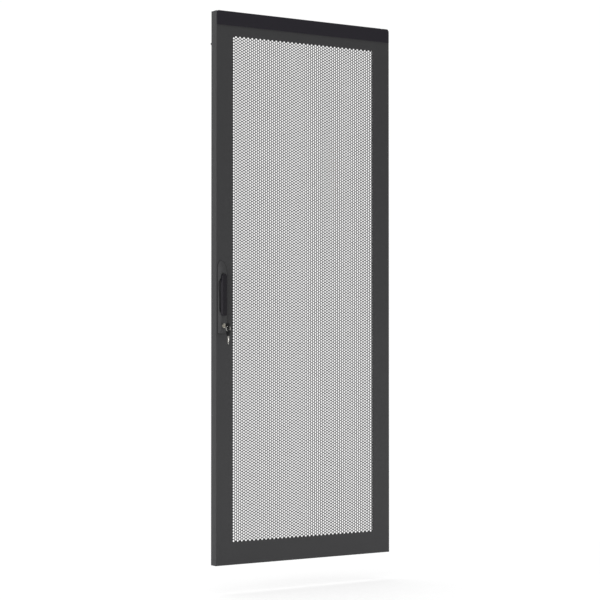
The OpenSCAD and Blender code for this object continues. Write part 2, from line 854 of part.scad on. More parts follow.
// Profile of a key blade with its cuts, from the end of the tang to the tip along +X
module blade_profile() {
    half = blade_w / 2;
    cut = [1.6, 2.6, 1.2, 2.2, 1.8];
    start = key_shoulder + 8;
    step = 3.4;
    polygon(concat(
        [[tang_end, -half + 1], [key_shoulder, -half + 1], [key_shoulder, -half]],
        [[start, -half]],
        [for (i = [0 : len(cut) - 1]) each [
            [start + (i + 0.35) * step, -half + cut[i]],
            [start + (i + 0.75) * step, -half + cut[i]]
        ]],
        [[key_tip - 1, -half + 1.4], [key_tip, 0], [key_tip - 2.5, half]],
        [[key_shoulder, half], [key_shoulder, half - 1], [tang_end, half - 1]]
    ));
}

// Moulded bow round the tang, with its eye
module bow_profile() {
    half = bow_w / 2;
    round_r = 7;
    difference() {
        hull() {
            for (z = [-1, 1] * (half - round_r))
                translate([bow_end + round_r, z]) circle(r = round_r);
            translate([key_shoulder - 2, -6]) square([2, 12]);
        }
        translate([bow_eye_y, 0]) circle(r = bow_eye_r);
    }
}

module blade_solid() {
    side_slab(-blade_t / 2, blade_t / 2) blade_profile();
}

module bow_solid() {
    difference() {
        side_slab(-bow_t / 2, bow_t / 2) bow_profile();
        side_slab(-blade_t / 2, blade_t / 2) translate([tang_end, -blade_w / 2 + 1])
            square([key_shoulder - tang_end + 1, blade_w - 2]);
    }
}

module key_blade() {
    color(zinc) on_lock() blade_solid();
}

module key_bow() {
    color(nylon_black) on_lock() bow_solid();
}

// Hardened wire ring through the eye of the key in the lock
module key_ring() {
    color(zinc) on_lock() translate([0, bow_eye_y, ring_centre_z]) rotate([90, 0, 0])
        rotate_extrude($fn = 96) translate([ring_r, 0]) circle(d = ring_wire, $fn = 24);
}

// Turns children, drawn as the key in the lock, to hang from the ring by their eye
module as_spare() {
    translate([0, bow_eye_y, spare_eye_z]) rotate([-90, 0, 0]) translate([0, -bow_eye_y, 0])
        children();
}

module spare_blade() {
    color(zinc) on_lock() as_spare() blade_solid();
}

module spare_bow() {
    color(nylon_black) on_lock() as_spare() bow_solid();
}

// Folded bracket on the hinge return, with a hole for the bush
module lower_hinge_bracket() {
    z0 = sheet_t;
    color(zinc) on_leaf() difference() {
        union() {
            block([bracket_x0, inner_front, z0], [bracket_x1, bracket_y1, z0 + bracket_t]);
            block([bracket_x1 - bracket_t, inner_front, z0], [bracket_x1, bracket_y1, z0 + bracket_w]);
        }
        translate([hinge_x, hinge_y, z0 - 1]) cylinder(r = bush_r + seated, h = bracket_t + 2);
    }
}

// Flanged bush that drops over the pin of the cabinet
module lower_hinge_bush() {
    color("#3A3A3A") difference() {
        union() {
            translate([0, 0, -bush_flange_t])
                cylinder(r = bush_flange_r, h = sheet_t + bush_flange_t);
            cylinder(r = bush_r, h = bush_top);
        }
        translate([0, 0, -bush_flange_t - 1])
            cylinder(r = hinge_d / 2, h = bush_top + bush_flange_t + 2);
    }
}

// Bracket with two plates that guide the sprung pin
module upper_hinge_bracket() {
    color(zinc) on_leaf() difference() {
        union() {
            block(
                [bracket_x0, inner_front, upper_plate_bottom],
                [bracket_x1, bracket_y1, upper_plate_top]
            );
            block(
                [bracket_x0, inner_front, middle_plate_bottom],
                [bracket_x1, bracket_y1, middle_plate_top]
            );
            block(
                [bracket_x1 - bracket_t, inner_front, middle_plate_bottom],
                [bracket_x1, bracket_y1, upper_plate_top]
            );
        }
        translate([hinge_x, hinge_y, middle_plate_bottom - 1])
            cylinder(r = shank_r + running, h = bracket_h + 2);
    }
}

// Sprung pin: shank with its fixed collar, and a slimmer end that enters the cabinet
module hinge_pin() {
    color(zinc) rotate_extrude() polygon([
        [0, pin_bottom], [shank_r, pin_bottom],
        [shank_r, pin_collar_top - collar_t], [pin_collar_r, pin_collar_top - collar_t],
        [pin_collar_r, pin_collar_top], [shank_r, pin_collar_top],
        [shank_r, shank_top], [hinge_d / 2, shank_top + 1.2],
        [hinge_d / 2, pin_top - pin_nose], [hinge_d / 2 - pin_nose, pin_top], [0, pin_top]
    ]);
}

// Ring of points of the spring's wire at step i along its helix
function spring_ring(i, steps, sides) = let (
    a = i * 360 * spring_turns / steps,
    z = spring_bottom + spring_wire / 2
        + (spring_top - spring_bottom - spring_wire) * i / steps
) [for (k = [0 : sides - 1])
    let (b = k * 360 / sides, r = spring_mid_r + spring_wire / 2 * cos(b))
    [r * cos(a), r * sin(a), z + spring_wire / 2 * sin(b)]];

// Coil spring between the middle plate and the collar
module pin_spring() {
    steps = spring_turns * 16;
    sides = 8;
    points = [for (i = [0 : steps]) each spring_ring(i, steps, sides)];
    color(spring_steel) polyhedron(points, concat(
        [[for (k = [0 : sides - 1]) k]],
        [[for (k = [sides - 1 : -1 : 0]) steps * sides + k]],
        [for (i = [0 : steps - 1]) for (k = [0 : sides - 1])
            let (m = (k + 1) % sides)
            [i * sides + k, (i + 1) * sides + k, (i + 1) * sides + m, i * sides + m]]
    ));
}

// Moulded knob that draws the pin down
module pin_knob() {
    r = 8;
    waist = 5.5;
    color(nylon_black) translate([0, 0, knob_top - knob_len]) difference() {
        rotate_extrude() polygon([
            [0, 0], [r - 2, 0], [r, 2], [r, 5], [waist, 7.5], [waist, 10], [r - 1, 13],
            [r - 1, knob_len - 1], [r - 2, knob_len], [0, knob_len]
        ]);
        translate([0, 0, pin_bottom - (knob_top - knob_len)])
            cylinder(r = shank_r + seated, h = knob_len);
    }
}

// Rubber stub pushed through the rear lip
module stop_buffer() {
    r = buffer_d / 2;
    stem = buffer_d / 4;
    inside = leaf_depth - sheet_t - seated;
    color(nylon_black) on_leaf() translate([rear_lip / 2, 0, leaf_h - buffer_drop])
        rotate([-90, 0, 0]) rotate_extrude() polygon([
            [0, inside - 3], [stem, inside - 3], [stem + 1.2, inside],
            [stem, inside], [stem, leaf_depth + seated], [r, leaf_depth + seated],
            [r, leaf_depth + buffer_h - 2], [r - 2, leaf_depth + buffer_h],
            [0, leaf_depth + buffer_h]
        ]);
}

// Welded stud for the earth lead
module earth_stud() {
    color(zinc) on_leaf() translate([earth_x, 0, earth_z]) {
        rod_y(earth_d, inner_front, inner_front + 1);
        rod_y(earth_d / 2, inner_front, inner_front + earth_len);
    }
}

module earth_washer() {
    y0 = inner_front + 1;
    color(zinc) on_leaf() translate([earth_x, 0, earth_z]) difference() {
        rod_y(earth_d + 1, y0, y0 + 1.6);
        rod_y(earth_d / 2 + seated, y0 - 1, y0 + 3);
    }
}

module earth_nut() {
    y0 = inner_front + 2.6;
    color(zinc) on_leaf() translate([earth_x, 0, earth_z]) difference() {
        slab(y0, y0 + 5) hexagon(10);
        rod_y(earth_d / 2 + seated, y0 - 1, y0 + 6);
    }
}

door_skin();
left_stiffener();
right_stiffener();
top_stiffener();
bottom_stiffener();
top_trim();
trim_clips();
escutcheon();
handle_gasket();
case_plate();
latch_case();
case_rivets();
handle_screws();
spindle();
lever();
lever_pin();
pinion();
spindle_washer();
spindle_screw();
upper_rod();
lower_rod();
rod_guides();
lock_barrel();
lock_nut();
lock_plug();
lock_tongue();
tongue_screw();
key_blade();
key_bow();
key_ring();
spare_blade();
spare_bow();
lower_hinge_bracket();
lower_hinge_bush();
upper_hinge_bracket();
hinge_pin();
pin_spring();
pin_knob();
stop_buffer();
earth_stud();
earth_washer();
earth_nut();
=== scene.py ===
import json
import math

import bmesh
import bpy
from mathutils import Matrix, Vector

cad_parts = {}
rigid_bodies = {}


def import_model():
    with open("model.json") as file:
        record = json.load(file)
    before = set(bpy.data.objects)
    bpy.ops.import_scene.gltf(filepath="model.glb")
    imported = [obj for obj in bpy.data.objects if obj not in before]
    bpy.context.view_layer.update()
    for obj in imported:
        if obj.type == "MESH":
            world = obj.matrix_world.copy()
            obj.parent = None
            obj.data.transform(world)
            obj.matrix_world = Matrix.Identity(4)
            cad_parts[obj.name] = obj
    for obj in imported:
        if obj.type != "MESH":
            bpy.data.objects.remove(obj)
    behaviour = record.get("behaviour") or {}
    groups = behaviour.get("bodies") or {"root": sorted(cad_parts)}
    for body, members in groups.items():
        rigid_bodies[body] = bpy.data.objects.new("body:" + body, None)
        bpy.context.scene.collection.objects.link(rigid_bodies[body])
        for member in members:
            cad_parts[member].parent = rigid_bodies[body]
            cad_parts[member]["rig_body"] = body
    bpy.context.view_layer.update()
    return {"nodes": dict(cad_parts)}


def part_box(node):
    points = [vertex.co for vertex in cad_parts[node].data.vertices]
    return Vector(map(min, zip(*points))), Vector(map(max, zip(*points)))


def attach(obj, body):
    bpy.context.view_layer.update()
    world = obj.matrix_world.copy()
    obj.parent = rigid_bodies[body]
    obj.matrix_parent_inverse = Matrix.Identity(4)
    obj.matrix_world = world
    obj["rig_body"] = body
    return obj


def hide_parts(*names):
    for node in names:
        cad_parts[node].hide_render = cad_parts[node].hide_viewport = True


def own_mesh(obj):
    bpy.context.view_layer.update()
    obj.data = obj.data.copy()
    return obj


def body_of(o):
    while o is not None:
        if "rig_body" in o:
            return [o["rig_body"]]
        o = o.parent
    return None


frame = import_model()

# ---------------------------------------------------------------------------
# The punched leaf
# One sheet of 1.5 mm steel, punched with some thirteen thousand hexagons, folded to a shallow pan,
# welded at its corners and powder coated in matt anthracite. Three bands of punching butt together
# inside a plain border, and the folded returns close the edges.
# ---------------------------------------------------------------------------
MM = 0.001
leaf_low, leaf_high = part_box("door_skin")
sheet = 1.5 * MM
bend = 1.6 * MM
pitch = 10 * MM
opening = 7.4 * MM
columns = 72
rows = 180
bands = 3
# The columns stand a trace closer together than an even pitch would put them.
narrowing = 0.9973
column_pitch = pitch * math.sqrt(3) / 2 * narrowing
first_hole = Vector((leaf_low.x + 73.76 * MM, leaf_low.y, 84.6 * MM))
side_return = leaf_high.y - leaf_low.y
cross_return = 16 * MM
rear_lip = 12 * MM
# Corners closer together than this are one.
hair = 0.01 * MM


def srgb(code):
    """Turns an sRGB hex colour to the linear values that a shader takes."""
    parts = [int(code[i:i + 2], 16) / 255 for i in (1, 3, 5)]
    return [p / 12.92 if p <= 0.04045 else ((p + 0.055) / 1.055) ** 2.4 for p in parts] + [1.0]


def add_node(tree, kind, settings=None, inputs=None):
    """Adds a node with its properties. An input is a value, a socket, or a node that feeds it."""
    node = tree.nodes.new(kind)
    for name, value in (settings or {}).items():
        setattr(node, name, value)
    for key, value in (inputs or {}).items():
        if isinstance(value, bpy.types.Node):
            value = value.outputs[0]
        if isinstance(value, bpy.types.NodeSocket):
            tree.links.new(value, node.inputs[key])
        else:
            node.inputs[key].default_value = value
    return node


def new_finish(name):
    """Starts a material and gives back it, its node tree and its Principled shader."""
    finish = bpy.data.materials.new(name)
    finish.use_nodes = True
    tree = finish.node_tree
    return finish, tree, tree.nodes["Principled BSDF"]


def powder_coat(name, code, gloss):
    """Polyester powder coat, sprayed and baked: a matt film with the faint orange peel of its flow."""
    finish, tree, shader = new_finish(name)
    place = add_node(tree, "ShaderNodeTexCoord").outputs["Object"]
    # Orange peel is about 1 mm across; 2.5 mm is the finest that still shows.
    peel = add_node(tree, "ShaderNodeTexNoise", {}, {
        "Vector": place, "Scale": 1 / (2.5 * MM), "Detail": 2.0, "Roughness": 0.5})
    # The film is a little thicker here and there, which drifts its shade by a fortieth.
    drift = add_node(tree, "ShaderNodeTexNoise", {}, {
        "Vector": place, "Scale": 1 / (350 * MM), "Detail": 1.0})
    shade = add_node(tree, "ShaderNodeMapRange", {}, {
        "Value": drift, "From Min": 0.3, "From Max": 0.7, "To Min": 0.975, "To Max": 1.025})
    colour = add_node(tree, "ShaderNodeVectorMath", {"operation": "SCALE"}, {
        0: srgb(code)[:3], "Scale": shade})
    bump = add_node(tree, "ShaderNodeBump", {}, {
        "Height": peel, "Strength": 0.12, "Distance": 0.1 * MM})
    rough = add_node(tree, "ShaderNodeMapRange", {}, {"Value": peel, "To Min": 0.5, "To Max": 0.62})
    tree.links.new(colour.outputs[0], shader.inputs["Base Color"])
    tree.links.new(bump.outputs[0], shader.inputs["Normal"])
    tree.links.new(rough.outputs[0], shader.inputs["Roughness"])
    shader.inputs["IOR"].default_value = 1.5
    shader.inputs["Specular IOR Level"].default_value = gloss
    return finish


coat = powder_coat("anthracite_powder_coat", "#3B3B3C", 0.15)


def add_inputs(tree, wanted):
    for name, kind in wanted.items():
        tree.interface.new_socket(name=name, in_out="INPUT", socket_type="NodeSocket" + kind)
    tree.interface.new_socket(name="Geometry", in_out="OUTPUT", socket_type="NodeSocketGeometry")
    return add_node(tree, "NodeGroupInput").outputs


def cell_points(tree, given):
    """Points at the centres of the staggered cells, in the XY plane."""
    index = add_node(tree, "GeometryNodeInputIndex")
    whole = add_node(tree, "ShaderNodeMath", {"operation": "DIVIDE"}, {0: index, 1: given["Rows"]})
    column = add_node(tree, "ShaderNodeMath", {"operation": "FLOOR"}, {0: whole})
    below = add_node(tree, "ShaderNodeMath", {"operation": "MULTIPLY"}, {0: column, 1: given["Rows"]})
    row = add_node(tree, "ShaderNodeMath", {"operation": "SUBTRACT"}, {0: index, 1: below})
    odd = add_node(tree, "ShaderNodeMath", {"operation": "MODULO"}, {0: column, 1: 2.0})
    stagger = add_node(tree, "ShaderNodeMath", {"operation": "MULTIPLY"}, {0: odd, 1: 0.5})
    level = add_node(tree, "ShaderNodeMath", {"operation": "ADD"}, {0: row, 1: stagger})
    step = add_node(tree, "ShaderNodeMath", {"operation": "MULTIPLY"}, {
        0: given["Pitch"], 1: math.sqrt(3) / 2})
    x = add_node(tree, "ShaderNodeMath", {"operation": "MULTIPLY"}, {0: column, 1: step})
    y = add_node(tree, "ShaderNodeMath", {"operation": "MULTIPLY"}, {0: level, 1: given["Pitch"]})
    count = add_node(tree, "ShaderNodeMath", {"operation": "MULTIPLY"}, {
        0: given["Columns"], 1: given["Rows"]})
    position = add_node(tree, "ShaderNodeCombineXYZ", {}, {"X": x, "Y": y})
    return add_node(tree, "GeometryNodePoints", {}, {"Count": count, "Position": position})


def cell_disc(tree, given):
    """One whole hexagonal cell, in the XY plane."""
    radius = add_node(tree, "ShaderNodeMath", {"operation": "DIVIDE"}, {0: given["Pitch"], 1: math.sqrt(3)})
    return add_node(tree, "GeometryNodeMeshCircle", {"fill_type": "NGON"}, {"Vertices": 6, "Radius": radius})


def tiled(tree, given, cell):
    """The cell at every point, made real and welded along the shared edges."""
    placed = add_node(tree, "GeometryNodeInstanceOnPoints", {}, {
        "Points": cell_points(tree, given), "Instance": cell})
    real = add_node(tree, "GeometryNodeRealizeInstances", {}, {"Geometry": placed})
    welded = add_node(tree, "GeometryNodeMergeByDistance", {}, {"Geometry": real, "Distance": hair})
    across = add_node(tree, "ShaderNodeCombineXYZ", {}, {"X": given["Narrowing"], "Y": 1.0, "Z": 1.0})
    return add_node(tree, "GeometryNodeTransform", {}, {"Geometry": welded, "Scale": across})


def thickened(tree, given, face):
    """Gives a face in the XY plane its thickness, stands it up facing forwards and sets its finish."""
    flipped = add_node(tree, "GeometryNodeFlipFaces", {}, {"Mesh": face})
    back = add_node(tree, "ShaderNodeMath", {"operation": "MULTIPLY"}, {0: given["Thickness"], 1: -1.0})
    depth = add_node(tree, "ShaderNodeCombineXYZ", {}, {"Z": back})
    walls = add_node(tree, "GeometryNodeExtrudeMesh", {"mode": "FACES"}, {
        "Mesh": flipped, "Offset": depth, "Offset Scale": 1.0, "Individual": False})
    both = add_node(tree, "GeometryNodeJoinGeometry")
    tree.links.new(face.outputs[0], both.inputs[0])
    tree.links.new(walls.outputs[0], both.inputs[0])
    closed = add_node(tree, "GeometryNodeMergeByDistance", {}, {"Geometry": both, "Distance": hair})
    upright = add_node(tree, "GeometryNodeTransform", {}, {
        "Geometry": closed, "Rotation": (math.pi / 2, 0, 0), "Translation": given["Origin"]})
    finished = add_node(tree, "GeometryNodeSetMaterial", {}, {
        "Geometry": upright, "Material": given["Finish"]})
    add_node(tree, "NodeGroupOutput", {}, {0: finished})


def field_tree():
    """Geometry Nodes tree of a band of the punched field: rings of metal round hexagonal openings."""
    tree = bpy.data.node_groups.new("punched_field", "GeometryNodeTree")
    given = add_inputs(tree, {
        "Columns": "Int", "Rows": "Int", "Pitch": "Float", "Narrowing": "Float", "Opening": "Float",
        "Thickness": "Float", "Origin": "Vector", "Finish": "Material"})
    raised = add_node(tree, "GeometryNodeExtrudeMesh", {"mode": "FACES"}, {
        "Mesh": cell_disc(tree, given), "Offset Scale": 0.0})
    share = add_node(tree, "ShaderNodeMath", {"operation": "DIVIDE"}, {
        0: given["Opening"], 1: given["Pitch"]})
    shrunk = add_node(tree, "GeometryNodeScaleElements", {}, {
        "Geometry": raised.outputs["Mesh"], "Selection": raised.outputs["Top"], "Scale": share})
    ring = add_node(tree, "GeometryNodeDeleteGeometry", {"domain": "FACE"}, {
        "Geometry": shrunk, "Selection": raised.outputs["Top"]})
    thickened(tree, given, tiled(tree, given, ring))
    return tree


def border_tree():
    """Geometry Nodes tree of the plain border: a rectangle less the stepped outline of the cells."""
    tree = bpy.data.node_groups.new("plain_border", "GeometryNodeTree")
    given = add_inputs(tree, {
        "Columns": "Int", "Rows": "Int", "Pitch": "Float", "Narrowing": "Float",
        "Width": "Float", "Height": "Float", "Middle": "Vector",
        "Thickness": "Float", "Origin": "Vector", "Finish": "Material"})
    faces = add_node(tree, "GeometryNodeInputMeshEdgeNeighbors")
    outer = add_node(tree, "FunctionNodeCompare", {"data_type": "INT", "operation": "EQUAL"}, {
        2: faces, 3: 1})
    stepped = add_node(tree, "GeometryNodeMeshToCurve", {}, {
        "Mesh": tiled(tree, given, cell_disc(tree, given)), "Selection": outer})
    edge = add_node(tree, "GeometryNodeCurvePrimitiveQuadrilateral", {}, {
        "Width": given["Width"], "Height": given["Height"]})
    centred = add_node(tree, "GeometryNodeTransform", {}, {
        "Geometry": edge, "Translation": given["Middle"]})
    lines = add_node(tree, "GeometryNodeJoinGeometry")
    tree.links.new(stepped.outputs[0], lines.inputs[0])
    tree.links.new(centred.outputs[0], lines.inputs[0])
    filled = add_node(tree, "GeometryNodeFillCurve", {"mode": "TRIANGLES"}, {"Curve": lines})
    thickened(tree, given, filled)
    return tree


def made_plain(piece):
    """Applies a piece's modifiers, which leaves it a plain mesh."""
    bpy.context.view_layer.update()
    depsgraph = bpy.context.evaluated_depsgraph_get()
    mesh = bpy.data.meshes.new_from_object(piece.evaluated_get(depsgraph))
    piece.modifiers.clear()
    piece.data = mesh
    return piece


def grown(name, tree, values):
    """Runs a Geometry Nodes tree with the given values and keeps the result as a plain mesh."""
    piece = bpy.data.objects.new(name, bpy.data.meshes.new(name))
    bpy.context.scene.collection.objects.link(piece)
    modifier = piece.modifiers.new("grow", "NODES")
    modifier.node_group = tree
    for item in tree.interface.items_tree:
        if item.in_out == "INPUT":
            modifier[item.identifier] = values[item.name]
    return made_plain(piece)


def keep(piece, body, slot, *nodes):
    """Hands a finished piece to the frame: its body and the nodes that it stands for, which it hides. The
    material slot is not used.
    """
    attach(piece, body)
    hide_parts(*nodes)


punching = {
    "Rows": rows, "Pitch": pitch, "Narrowing": narrowing, "Opening": opening, "Thickness": sheet,
    "Finish": coat}
field = field_tree()
band_columns = columns // bands
for band in range(bands):
    start = first_hole + Vector((band * band_columns * column_pitch, 0, 0))
    piece = grown(f"punched_band_{band + 1}", field, {**punching, "Columns": band_columns, "Origin": start})
    keep(piece, "leaf", "powder_coat", "door_skin")


def as_object(mesh, name, finish):
    """Turns a bmesh to an object with one finish."""
    data = bpy.data.meshes.new(name)
    mesh.to_mesh(data)
    mesh.free()
    data.materials.append(finish)
    piece = bpy.data.objects.new(name, data)
    bpy.context.scene.collection.objects.link(piece)
    return piece


def cut_away(piece, cutters):
    """Cuts the closed solids of a bmesh out of a piece."""
    cutter = as_object(cutters, piece.name + "_cutter", coat)
    modifier = piece.modifiers.new("cut", "BOOLEAN")
    modifier.operation = "DIFFERENCE"
    modifier.solver = "EXACT"
    modifier.object = cutter
    made_plain(piece)
    bpy.data.objects.remove(cutter)
    return piece


def pierced(piece, holes):
    """Cuts round holes through the sheet, each given by its centre, its axis and its radius."""
    cutters = bmesh.new()
    for centre, axis, radius in holes:
        turn = Vector(axis).to_track_quat("Z", "Y").to_matrix().to_4x4()
        bmesh.ops.create_cone(
            cutters, cap_ends=True, segments=48, radius1=radius, radius2=radius, depth=4 * sheet,
            matrix=Matrix.Translation(centre) @ turn)
    return cut_away(piece, cutters)


def arc(centre, radius, start, end):
    """Points on an arc in six steps, by its angles in degrees."""
    angles = [math.radians(start + (end - start) * i / 6) for i in range(7)]
    return [(centre[0] + radius * math.cos(a), centre[1] + radius * math.sin(a)) for a in angles]


def prism(mesh, outline, place):
    """Adds the closed solid between two copies of an outline, each put in place by place(u, v, end)."""
    ends = [[mesh.verts.new(place(u, v, end)) for u, v in outline] for end in (0, 1)]
    made = [mesh.faces.new(ends[0]), mesh.faces.new(list(reversed(ends[1])))]
    for i in range(len(outline)):
        j = (i + 1) % len(outline)
        made.append(mesh.faces.new((ends[0][j], ends[0][i], ends[1][i], ends[1][j])))
    bmesh.ops.recalc_face_normals(mesh, faces=made)


# The upper corner on the hinge side is clipped at one slant through the trim, the sheet and the returns.
clip_width = 7.7 * MM
clip_height = 10.7 * MM
slant_top = Vector((leaf_high.x - clip_width, 0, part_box("top_trim")[1].z))
slant_foot = Vector((leaf_high.x, 0, slant_top.z - clip_height))
slant = (slant_foot - slant_top).normalized()
inward = Vector((slant.z, 0, -slant.x))


def clipped(piece, inset=0.0):
    """Cuts a piece off at the slant of the corner, or at the given distance inside it."""
    reach = 2 * sheet
    start = slant_top + inset * inward - reach * slant
    end = slant_foot + inset * inward + reach * slant
    outside = leaf_high.x + reach
    outline = [(start.x, start.z), (outside, start.z), (outside, end.z), (end.x, end.z)]
    cutters = bmesh.new()
    prism(cutters, outline, lambda u, v, back: (
        u, leaf_low.y - reach + back * (side_return + 2 * reach), v))
    return cut_away(piece, cutters)


def middle_of(node):
    """The middle of a modelled piece's box."""
    low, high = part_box(node)
    return (low + high) / 2


flat_low = Vector((leaf_low.x + bend, 0, bend))
flat_high = Vector((leaf_high.x - bend, 0, leaf_high.z - bend))
flat_middle = (flat_low + flat_high) / 2 - first_hole
border = grown("plain_border", border_tree(), {
    **punching, "Columns": columns, "Origin": first_hole,
    "Width": flat_high.x - flat_low.x, "Height": flat_high.z - flat_low.z,
    "Middle": Vector((flat_middle.x, flat_middle.z, 0))})
# Clearance for the spindle, the lock, the two screws of the handle and the pegs of the trim, by radius
spindle_hole = 6.5 * MM
lock_hole = 7.2 * MM
screw_hole = 2.7 * MM
peg_hole = 2.53 * MM
pegs = 5
head_radius = 4.25 * MM
clip_radius = 6 * MM
screw_low, screw_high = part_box("handle_screws")
clip_low, clip_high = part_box("trim_clips")
peg_step = (clip_high.x - clip_low.x - 2 * clip_radius) / (pegs - 1)
screw_x = middle_of("handle_screws").x
peg_z = middle_of("trim_clips").z
round_holes = [
    (middle_of("spindle").x, middle_of("spindle").z, spindle_hole),
    (middle_of("lock_barrel").x, middle_of("lock_barrel").z, lock_hole),
    (screw_x, screw_high.z - head_radius, screw_hole),
    (screw_x, screw_low.z + head_radius, screw_hole)]
round_holes += [(clip_low.x + clip_radius + i * peg_step, peg_z, peg_hole) for i in range(pegs)]
mid_sheet = leaf_low.y + sheet / 2
border_holes = [(Vector((x, mid_sheet, z)), (0, 1, 0), radius) for x, z, radius in round_holes]
keep(clipped(pierced(border, border_holes)), "leaf", "powder_coat", "door_skin")


def smoothed(piece, angle=30):
    """Smooth shading with the edges sharper than an angle left crisp."""
    piece.data.shade_smooth()
    piece.data.set_sharp_from_angle(angle=math.radians(angle))
    return piece


# Side returns: a bend, the return and the lip that stiffens its rear edge, seen from above
front_corner = (bend, bend)
rear_corner = (bend, side_return - bend)
inner_bend = bend - sheet
side_section = (
    [(bend, 0)] + arc(front_corner, bend, 270, 180) + arc(rear_corner, bend, 180, 90)
    + [(rear_lip, side_return), (rear_lip, side_return - sheet)]
    + arc(rear_corner, inner_bend, 90, 180) + arc(front_corner, inner_bend, 180, 270) + [(bend, sheet)])
# Top and bottom returns: a bend and a plain return, seen from the side
cross_section = (
    [(0, bend)] + arc(front_corner, bend, 180, 270) + [(cross_return, 0), (cross_return, sheet)]
    + arc(front_corner, inner_bend, 270, 180) + [(sheet, bend)])
returns = bmesh.new()
for x, way in ((leaf_low.x, 1), (leaf_high.x, -1)):
    prism(returns, side_section, lambda u, v, end: (
        x + way * u, leaf_low.y + v, leaf_low.z + end * (leaf_high.z - leaf_low.z)))
for z, way in ((leaf_low.z, 1), (leaf_high.z, -1)):
    prism(returns, cross_section, lambda u, v, end: (
        flat_low.x + end * (flat_high.x - flat_low.x), leaf_low.y + u, z + way * v))
# The strip that closes the clipped corner: a hair inside the slant, and inside the edges of the returns
strip_inset = 0.3 * MM
strip_top = slant_top.lerp(slant_foot, (slant_top.z - leaf_high.z) / clip_height)
strip = [strip_top + hair * inward, slant_foot + hair * inward,
         slant_foot + sheet * inward, strip_top + sheet * inward]
prism(returns, [(corner.x, corner.z) for corner in strip], lambda u, v, end: (
    u, leaf_low.y + strip_inset + end * (side_return - 2 * strip_inset), v))
folded = as_object(returns, "folded_returns", coat)
# A notch round the lower hinge bush and a hole in the rear lip for the stop buffer, by radius
bush_notch = 7.3 * MM
buffer_hole = 2.05 * MM
bush = middle_of("lower_hinge_bush")
buffer = middle_of("stop_buffer")
folded_holes = [
    (Vector((bush.x, bush.y, leaf_low.z + sheet / 2)), (0, 0, 1), bush_notch),
    (Vector((buffer.x, leaf_high.y - sheet / 2, buffer.z)), (0, 1, 0), buffer_hole)]
keep(smoothed(clipped(pierced(folded, folded_holes))), "leaf", "powder_coat", "door_skin")


# ---------------------------------------------------------------------------
# Stiffening channels
# Four folded channels spot-welded behind the punched field, coated with the leaf. Each is the
# modelled channel with the small radius that a folded edge has.
# ---------------------------------------------------------------------------
def eased(node, finish, slot, radius, slant_inset=None):
    """A copy of a modelled piece, welded, clipped if asked, and with its sharp edges rounded."""
    source = frame["nodes"][node]
    piece = bpy.data.objects.new(node + "_eased", source.data.copy())
    bpy.context.scene.collection.objects.link(piece)
    work = bmesh.new()
    work.from_mesh(piece.data)
    bmesh.ops.remove_doubles(work, verts=work.verts, dist=0.002 * MM)
    bmesh.ops.dissolve_limit(
        work, angle_limit=math.radians(0.5), verts=work.verts, edges=work.edges)
    work.to_mesh(piece.data)
    work.free()
    piece.data.materials.clear()
    piece.data.materials.append(finish)
    if slant_inset is not None:
        clipped(piece, slant_inset)
    modifier = piece.modifiers.new("ease", "BEVEL")
    modifier.width = radius
    modifier.segments = 2
    modifier.limit_method = "ANGLE"
    modifier.angle_limit = math.radians(30)
    keep(smoothed(made_plain(piece), 12), body_of(source)[0], slot, node)


for channel in ("left_stiffener", "right_stiffener", "top_stiffener", "bottom_stiffener"):
    eased(channel, coat, "powder_coat", 0.5 * MM)


# ---------------------------------------------------------------------------
# Top trim
# A band moulded in black ABS that clips over the upper edge of the leaf. Its face breaks at a faint
# crease, and its surface has the satin sheen of a fine moulding texture.
# ---------------------------------------------------------------------------
def moulded(name, code, roughness, grain):
    """Moulded plastic: an even colour under the fine grain that the mould was etched with."""
    finish, tree, shader = new_finish(name)
    place = add_node(tree, "ShaderNodeTexCoord").outputs["Object"]
    etched = add_node(tree, "ShaderNodeTexNoise", {}, {
        "Vector": place, "Scale": 1 / grain, "Detail": 3.0, "Roughness": 0.6})
    rough = add_node(tree, "ShaderNodeMapRange", {}, {
        "Value": etched, "To Min": roughness - 0.06, "To Max": roughness + 0.06})
    bump = add_node(tree, "ShaderNodeBump", {}, {
        "Height": etched, "Strength": 0.15, "Distance": 0.05 * MM})
    tree.links.new(rough.outputs["Result"], shader.inputs["Roughness"])
    tree.links.new(bump.outputs["Normal"], shader.inputs["Normal"])
    shader.inputs["Base Color"].default_value = srgb(code)
    shader.inputs["IOR"].default_value = 1.53
    shader.inputs["Specular IOR Level"].default_value = 0.15
    return finish


# ABS keeps a faint violet in its black, and its etched grain turns highlights to a soft sheen.
trim_plastic = moulded("black_abs", "#222026", 0.45, 1.5 * MM)
eased("top_trim", trim_plastic, "trim_plastic", 0.6 * MM, slant_inset=0.0)


# ---------------------------------------------------------------------------
# Swing handle
# A cast escutcheon coated like the leaf, and a glass-filled nylon lever that lies in front of it,
# lifts on a steel cross pin and then turns with the spindle.
# ---------------------------------------------------------------------------
# The nylon is the darkest of the plastics in front, and the hand polishes it a little.
lever_plastic = moulded("glass_filled_nylon", "#1B191E", 0.42, 1.2 * MM)
# The casting takes the same coat as the leaf, a trace glossier. Its trace lighter shade is painted light: it
# brightens the handle where light falls on its left flank.
handle_coat = powder_coat("handle_powder_coat", "#3E3E3F", 0.17)
eased("escutcheon", handle_coat, "handle_paint", 0.8 * MM)
eased("lever", lever_plastic, "lever_plastic", 0.8 * MM)


